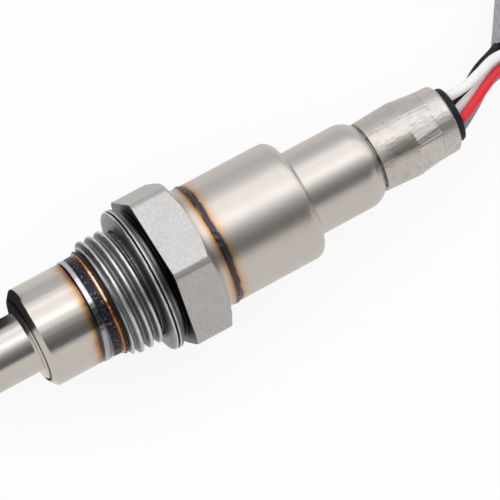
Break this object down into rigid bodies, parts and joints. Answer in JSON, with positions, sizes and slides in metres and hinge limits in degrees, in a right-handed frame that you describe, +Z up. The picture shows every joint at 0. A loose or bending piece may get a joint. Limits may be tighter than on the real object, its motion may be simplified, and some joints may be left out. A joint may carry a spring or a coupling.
{
  "type": "oxygen sensor",
  "caption": "Exhaust oxygen sensor with a threaded hex housing, gas tubes, a crimped steel sleeve and a sleeved wiring lead that ends in a sealed plug.",
  "frame": {"origin": "centre of the seat: on the sensor's axis, in the plane of the hex's front face, where the gasket sits", "axes": "+X along the sensor towards the cable, -X towards the gas tubes, +Z up out of one flat of the hex; the sensor lies on the opposite flat at z = -11 mm"},
  "size_m": [0.1726, 0.0766, 0.0227],
  "materials": {
    "tube_steel": "satin drawn stainless steel",
    "base_steel": "satin drawn stainless steel with golden heat tint at its welded end",
    "housing_steel": "machined steel, matte grained hex and dark oiled thread",
    "gasket_steel": "folded sheet steel ring",
    "element_ceramic": "fired laminated ceramic",
    "bushing_ceramic": "pressed and fired ceramic",
    "packing_powder": "pressed mineral powder",
    "spring_steel": "bright spring steel",
    "contact_metal": "plated stamped strip",
    "sleeve_steel": "satin drawn stainless steel, crimped at its end, heat tint at its weld",
    "grommet_rubber": "smooth black rubber",
    "wire_white": "smooth white insulation",
    "wire_black": "smooth black insulation",
    "wire_red": "smooth red insulation",
    "wire_grey": "smooth grey insulation",
    "sleeving_fibre": "fine grey woven sleeving",
    "plug_plastic": "moulded black plastic with a fine texture",
    "lock_plastic": "moulded violet plastic",
    "seal_rubber": "orange silicone rubber",
    "pin_metal": "tin-plated terminals"
  },
  "bodies": {
    "root": {"tip_tube": "tube_steel", "inner_tube": "tube_steel", "base_tube": "base_steel", "housing": "housing_steel", "gasket": "gasket_steel", "sensing_element": "element_ceramic", "lower_bushing": "bushing_ceramic", "powder_packing": "packing_powder", "upper_bushing": "bushing_ceramic", "lock_ring": "spring_steel", "front_holder": "bushing_ceramic", "holder_spring": "spring_steel", "rear_holder": "bushing_ceramic", "contact_1": "contact_metal", "contact_2": "contact_metal", "contact_3": "contact_metal", "contact_4": "contact_metal", "contact_5": "contact_metal", "rear_sleeve": "sleeve_steel", "grommet": "grommet_rubber", "wire_white_1": "wire_white", "wire_black": "wire_black", "wire_white_2": "wire_white", "wire_red": "wire_red", "wire_grey": "wire_grey", "sleeving_lead": "sleeving_fibre", "sleeving_coil": "sleeving_fibre", "plug_wire_1": "wire_white", "plug_wire_2": "wire_black", "plug_wire_3": "wire_white", "plug_wire_4": "wire_red", "plug_wire_5": "wire_grey", "plug_housing": "plug_plastic", "pin_lock": "lock_plastic", "mouth_seal": "seal_rubber", "wire_seal": "seal_rubber", "rear_cap": "plug_plastic", "plug_pin_1": "pin_metal", "plug_pin_2": "pin_metal", "plug_pin_3": "pin_metal", "plug_pin_4": "pin_metal", "plug_pin_5": "pin_metal"}
  },
  "joints": []
}
